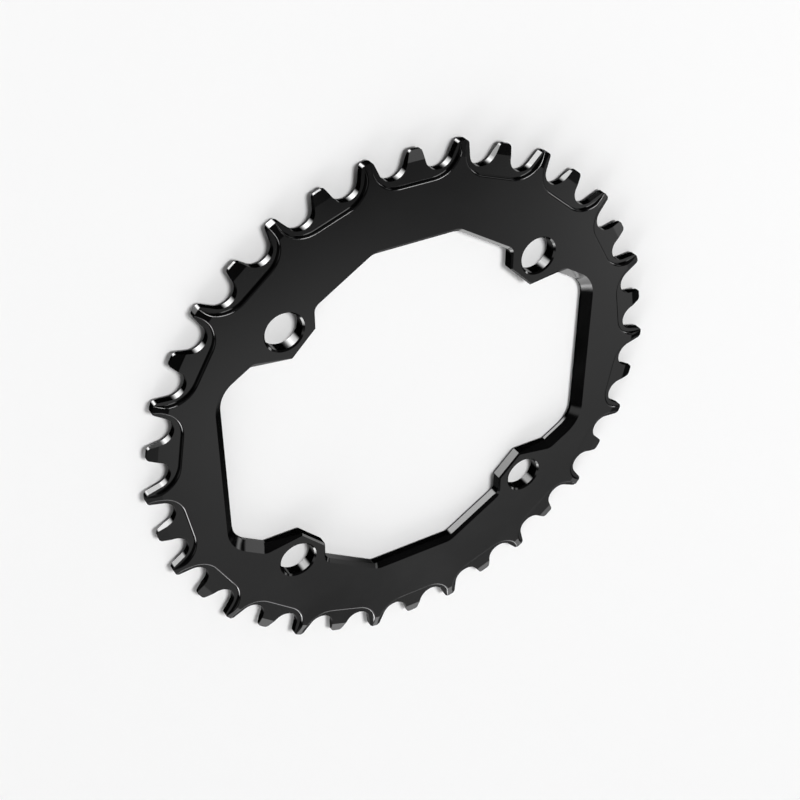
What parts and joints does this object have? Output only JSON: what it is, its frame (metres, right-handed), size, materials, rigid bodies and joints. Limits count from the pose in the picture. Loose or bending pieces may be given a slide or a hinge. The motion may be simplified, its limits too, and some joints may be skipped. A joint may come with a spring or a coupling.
{
  "type": "bicycle chainring",
  "caption": "Flat chainring plate with narrow and wide teeth in turn, bolt bosses with plain holes and a bevelled many-sided middle opening; carries the chain on a bicycle crank.",
  "frame": {"origin": "centre of the bolt circle on the inboard face, which is the face it lies on", "axes": "+Z along the ring's axis from the inboard to the outboard face, +Y through a narrow tooth midway between two bolt holes, +X across the wider way of the opening"},
  "size_m": [0.1516, 0.1504, 0.0035],
  "materials": {
    "anodised_aluminium": "black anodised, smooth and glossy"
  },
  "bodies": {
    "root": {"chainring": "anodised_aluminium"}
  },
  "joints": []
}
